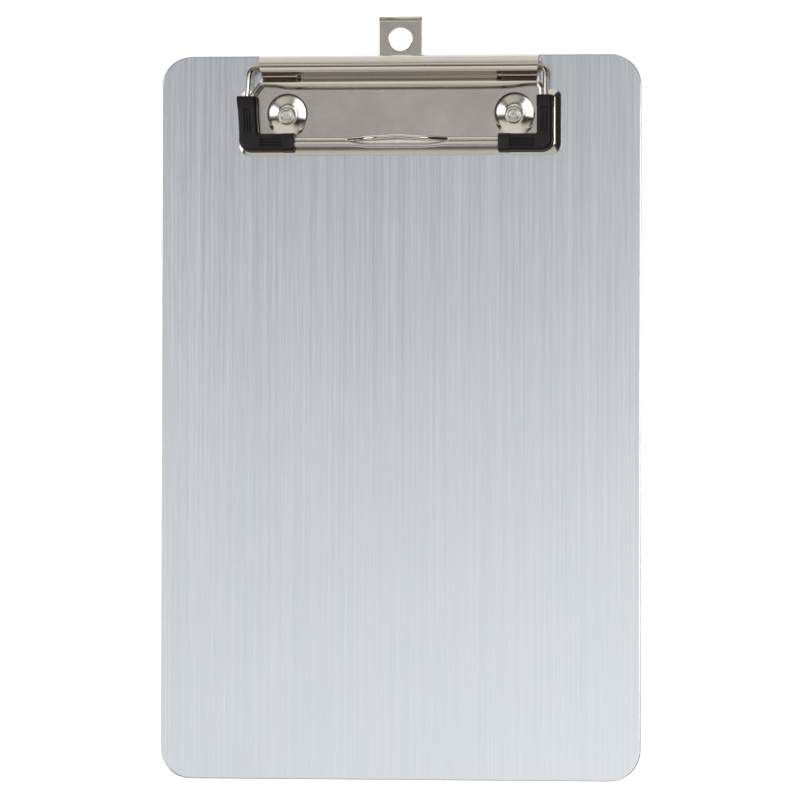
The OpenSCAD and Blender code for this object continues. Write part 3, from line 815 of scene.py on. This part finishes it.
def latheProfile(profile, steps=48):
    bm = bmesh.new()
    rings = []
    for r, z in profile:
        loop = circleLoop(0.0, 0.0, r, steps) if r else [(0.0, 0.0)]
        rings.append(addLoop(bm, loop, z))
    for a, b in zip(rings, rings[1:]):
        for i in range(steps):
            j = (i + 1) % steps
            if len(a) == 1:
                bm.faces.new((a[0], b[j], b[i]))
            elif len(b) == 1:
                bm.faces.new((a[i], a[j], b[0]))
            else:
                bm.faces.new((a[i], a[j], b[j], b[i]))
    return makeObject("oneRivet", bm, rivetFinish, 40)


def rowTree():
    tree = bpy.data.node_groups.new("rivetRow", "GeometryNodeTree")
    face = tree.interface
    face.new_socket("Geometry", in_out="INPUT", socket_type="NodeSocketGeometry")
    face.new_socket("Rivet Spacing", in_out="INPUT", socket_type="NodeSocketFloat")
    face.new_socket("Row Place", in_out="INPUT", socket_type="NodeSocketFloat")
    face.new_socket("Finish", in_out="INPUT", socket_type="NodeSocketMaterial")
    face.new_socket("Geometry", in_out="OUTPUT", socket_type="NodeSocketGeometry")
    source, sink = tree.nodes.new("NodeGroupInput"), tree.nodes.new("NodeGroupOutput")
    half = addNode(tree, "ShaderNodeMath", operation="MULTIPLY")
    half.inputs[1].default_value = -0.5
    start, step = tree.nodes.new("ShaderNodeCombineXYZ"), tree.nodes.new("ShaderNodeCombineXYZ")
    row = addNode(tree, "GeometryNodeMeshLine", mode="OFFSET", Count=2)
    copies = tree.nodes.new("GeometryNodeInstanceOnPoints")
    real, paint = tree.nodes.new("GeometryNodeRealizeInstances"), tree.nodes.new("GeometryNodeSetMaterial")
    link = tree.links.new
    link(source.outputs["Rivet Spacing"], half.inputs[0])
    link(half.outputs[0], start.inputs["X"])
    link(source.outputs["Row Place"], start.inputs["Y"])
    link(source.outputs["Rivet Spacing"], step.inputs["X"])
    link(start.outputs[0], row.inputs["Start Location"])
    link(step.outputs[0], row.inputs["Offset"])
    link(row.outputs["Mesh"], copies.inputs["Points"])
    link(source.outputs["Geometry"], copies.inputs["Instance"])
    link(copies.outputs["Instances"], real.inputs["Geometry"])
    link(real.outputs["Geometry"], paint.inputs["Geometry"])
    link(source.outputs["Finish"], paint.inputs["Material"])
    link(paint.outputs["Geometry"], sink.inputs["Geometry"])
    return tree


oneRivet = latheProfile(rivetProfile)
rowOf = oneRivet.modifiers.new("row", "NODES")
rowOf.node_group = rowTree()
setInput(rowOf, "Rivet Spacing", 2 * rivetPlace["x"] * mm)
setInput(rowOf, "Row Place", rivetPlace["y"] * mm)
setInput(rowOf, "Finish", rivetFinish)
rivets = bakeModifiers(oneRivet, "rivetPair", rivetFinish, 40)
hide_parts("rivet_left", "rivet_right")
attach(rivets, "base")
print("rivets made")


# hanging tab
tabSize = {"half": 6.9, "innerHalf": 7.6, "tailHalf": 9.6, "thick": 0.8, "z": 2.05, "tailY": 102.7,
           "stopBackY": 106.7, "flareY": 113.6, "bendY": 124.8, "holeY": 119.1, "holeRadius": 3.6,
           "bendRadius": 1.0, "bendSteps": 12, "lipAngle": 70.0, "lipLength": 0.5, "edge": 0.12, "x": 0.14}


def tabOutline(size, inset):
    h, n, t = size["half"] - inset, size["innerHalf"] - inset, size["tailHalf"] - inset
    end = size["bendY"] + math.radians(size["lipAngle"]) * size["bendRadius"] + size["lipLength"] - inset
    tail, stop, flare = size["tailY"] + inset, size["stopBackY"] - inset, size["flareY"] - inset
    right = [(t - 0.3, tail), (t, tail + 0.3), (t, stop - 0.3), (t - 0.3, stop), (n, stop + 0.001),
             (n, flare - 0.6), (n - 0.1, flare - 0.25), (n - 0.4, flare), (h + 0.2, flare + 0.1),
             (h, flare + 0.6), (h, end - 0.6), (h - 0.18, end - 0.18), (h - 0.6, end)]
    return right + [(-x, y) for x, y in reversed(right)]


def bendTab(size, x, s, h):
    # s runs along the sheet, h is the height over its middle
    r, angle = size["bendRadius"], math.radians(size["lipAngle"])
    base = size["z"] + size["thick"] / 2
    if s <= size["bendY"]:
        return x, s, base + h
    a = min((s - size["bendY"]) / r, angle)
    rest = max(0.0, s - size["bendY"] - angle * r)
    y = size["bendY"] + (r - h) * math.sin(a) + rest * math.cos(a)
    return x, y, base + r - (r - h) * math.cos(a) + rest * math.sin(a)


def makeTab(size):
    bm = bmesh.new()
    e, half = size["edge"], size["thick"] / 2
    layers = [(e * 3, -half), (e, -half), (e * 0.3, -half + e * 0.3), (0.0, -half + e), (0.0, half - e),
              (e * 0.3, half - e * 0.3), (e, half), (e * 3, half)]
    outer = [addLoop(bm, tabOutline(size, inset), h) for inset, h in layers]
    hole = []
    for inset, h in layers:
        hole.append(addLoop(bm, circleLoop(0.0, size["holeY"], size["holeRadius"] + inset), h))
    for loops in (outer, hole):
        for a, b in zip(loops, loops[1:]):
            bridge(bm, a, b)
    fillBetween(bm, [outer[0], hole[0]])
    fillBetween(bm, [outer[-1], hole[-1]])
    arc = math.radians(size["lipAngle"]) * size["bendRadius"]
    cuts = [size["bendY"] + arc * k / size["bendSteps"] for k in range(size["bendSteps"] + 1)]
    for s in cuts + [size["bendY"] - 0.3, size["flareY"] + 0.6]:
        everything = bm.verts[:] + bm.edges[:] + bm.faces[:]
        bmesh.ops.bisect_plane(bm, geom=everything, plane_co=(0, s, 0), plane_no=(0, 1, 0))
    for vert in bm.verts:
        x, y, z = bendTab(size, *vert.co)
        vert.co = (x + size["x"], y, z)
    return makeObject("hangTab", bm, sheetFinish, 38)


hangTab = makeTab(tabSize)
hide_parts("hanging_tab")
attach(hangTab, "tab")
print("tab made")


# stage: the spans below are directions in the room's light, from where a change starts to where it ends
studio = {"floorHalf": 6.0, "floorZ": -0.0004, "floorColor": (0.82, 0.82, 0.82, 1),
          "warmTone": (1.0, 1.0, 0.94), "dimLevel": 0.46, "brightLevel": 1.03, "dimSpan": (-0.03, 0.062),
          "acrossMiddle": -0.11, "acrossSlope": 0.8, "leftSlope": 6.0, "leastLevel": 0.12,
          "overheadEdge": (0.17, 0.28), "backLow": 0.52, "backHigh": 0.86, "backRise": (0.1, 0.8),
          "backWidth": (0.76, 0.92), "frontLow": 0.13, "frontHigh": 0.85, "frontFall": (0.25, 0.62),
          "frontWidth": (0.7, 0.88), "horizonLevel": 0.54, "horizonRise": (0.78, 0.9),
          "horizonWidth": (0.84, 0.95), "sideLevel": 0.03, "glow": 1.3, "glowHeading": (0.35, 0.6),
          "glowLeft": (0.2, 0.4), "glowRise": (0.93, 0.97), "frontGlow": 2.6, "frontGlowLeft": (0.7, 0.76),
          "frontGlowAhead": (-0.1, 0.1), "frontGlowRise": (0.94, 0.97)}
# place, turn about Z, width and length, power
sideLights = [((0.62, 0.05, 1.5), 0.0, (0.62, 0.38), 3.2), ((-1.0, -0.2, 1.45), -14.0, (0.92, 1.25), 7.8)]


def makeFloor(size):
    bm = bmesh.new()
    half = size["floorHalf"]
    corners = [(-half, -half), (half, -half), (half, half), (-half, half)]
    bm.faces.new(addLoop(bm, corners, size["floorZ"]))
    mesh = bpy.data.meshes.new("paleFloor")
    bm.to_mesh(mesh)
    bm.free()
    floor = bpy.data.objects.new("paleFloor", mesh)
    bpy.context.scene.collection.objects.link(floor)
    mat = bpy.data.materials.new("paleFloor")
    mat.use_nodes = True
    tree = mat.node_tree
    tree.nodes.clear()
    paint = addNode(tree, "ShaderNodeBsdfDiffuse", Color=size["floorColor"])
    glow = addNode(tree, "ShaderNodeEmission", Color=(1, 1, 1, 1))
    rays = tree.nodes.new("ShaderNodeLightPath")
    seen = addValues(tree, rays.outputs["Is Camera Ray"], rays.outputs["Is Glossy Ray"])
    seen = addValues(tree, seen, rays.outputs["Is Transmission Ray"])
    tree.links.new(spread(tree, seen, 0.0, 0.75, 0.0, 1.0), glow.inputs["Strength"])
    both, out = tree.nodes.new("ShaderNodeAddShader"), tree.nodes.new("ShaderNodeOutputMaterial")
    tree.links.new(paint.outputs[0], both.inputs[0])
    tree.links.new(glow.outputs[0], both.inputs[1])
    tree.links.new(both.outputs[0], out.inputs["Surface"])
    mesh.materials.append(mat)


def makeRoom(size):
    world = bpy.data.worlds.new("softRoom")
    bpy.context.scene.world = world
    world.use_nodes = True
    tree = world.node_tree
    sky = tree.nodes["Background"]
    place = tree.nodes.new("ShaderNodeTexCoord")
    split = tree.nodes.new("ShaderNodeSeparateXYZ")
    tree.links.new(place.outputs["Generated"], split.inputs["Vector"])

    def calc(kind, a, b):
        node = addNode(tree, "ShaderNodeMath", operation=kind)
        for k, v in enumerate((a, b)):
            if isinstance(v, (int, float)):
                node.inputs[k].default_value = v
            else:
                tree.links.new(v, node.inputs[k])
        return node.outputs[0]

    def within(value, name):
        return softSpan(tree, value, *size[name])

    x, y = split.outputs["X"], split.outputs["Y"]
    toLeft, toFront = calc("MULTIPLY", x, -1.0), calc("MULTIPLY", y, -1.0)
    # reach is 0 overhead and 1 at the horizon, heading is 1 behind the clip and -1 in front of it
    reach = calc("SQRT", calc("ADD", calc("MULTIPLY", x, x), calc("MULTIPLY", y, y)), 0.0)
    heading = calc("DIVIDE", y, calc("MAXIMUM", reach, 0.001))
    facing = calc("MULTIPLY", heading, -1.0)

    dimming = calc("MULTIPLY", within(y, "dimSpan"), size["brightLevel"] - size["dimLevel"])
    across = calc("MULTIPLY", calc("SUBTRACT", x, size["acrossMiddle"]), size["acrossSlope"])
    corners = calc("MULTIPLY", calc("MULTIPLY", calc("MINIMUM", x, 0.0), y), size["leftSlope"])
    overhead = calc("ADD", calc("ADD", calc("SUBTRACT", size["brightLevel"], dimming), across), corners)
    overhead = calc("MAXIMUM", overhead, size["leastLevel"])

    backGain = calc("MULTIPLY", within(reach, "backRise"), size["backHigh"] - size["backLow"])
    back = calc("MULTIPLY", within(heading, "backWidth"), calc("ADD", backGain, size["backLow"]))
    frontLoss = calc("MULTIPLY", within(reach, "frontFall"), size["frontHigh"] - size["frontLow"])
    horizon = calc("MULTIPLY", within(reach, "horizonRise"), within(facing, "horizonWidth"))
    horizon = calc("MULTIPLY", horizon, size["horizonLevel"])
    front = calc("ADD", calc("SUBTRACT", size["frontHigh"], frontLoss), horizon)
    front = calc("MULTIPLY", within(facing, "frontWidth"), front)

    leftBack = calc("MULTIPLY", within(heading, "glowHeading"), within(toLeft, "glowLeft"))
    leftBack = calc("MULTIPLY", calc("MULTIPLY", leftBack, within(reach, "glowRise")), size["glow"])
    leftFront = calc("MULTIPLY", within(toLeft, "frontGlowLeft"), within(toFront, "frontGlowAhead"))
    leftFront = calc("MULTIPLY", leftFront, within(reach, "frontGlowRise"))
    leftFront = calc("MULTIPLY", leftFront, size["frontGlow"])

    around = calc("ADD", calc("ADD", back, leftFront), leftBack)
    around = calc("ADD", around, calc("ADD", front, size["sideLevel"]))
    outside = within(reach, "overheadEdge")
    level = calc("MULTIPLY", overhead, calc("SUBTRACT", 1.0, outside))
    level = calc("ADD", level, calc("MULTIPLY", around, outside))
    tree.links.new(level, sky.inputs["Strength"])
    tree.links.new(mixColors(tree, outside, (1, 1, 1), size["warmTone"]), sky.inputs["Color"])


def addSideLights(lights):
    for place, turn, (width, length), power in lights:
        data = bpy.data.lights.new("sideLight", "AREA")
        data.shape = "RECTANGLE"
        data.size, data.size_y = width, length
        data.energy = power
        lamp = bpy.data.objects.new("sideLight", data)
        lamp.location = place
        lamp.rotation_euler = (0, math.atan2(place[0], place[2]), math.radians(turn))
        bpy.context.scene.collection.objects.link(lamp)


makeFloor(studio)
makeRoom(studio)
addSideLights(sideLights)
bpy.context.scene.view_settings.view_transform = "Standard"
print("stage made")
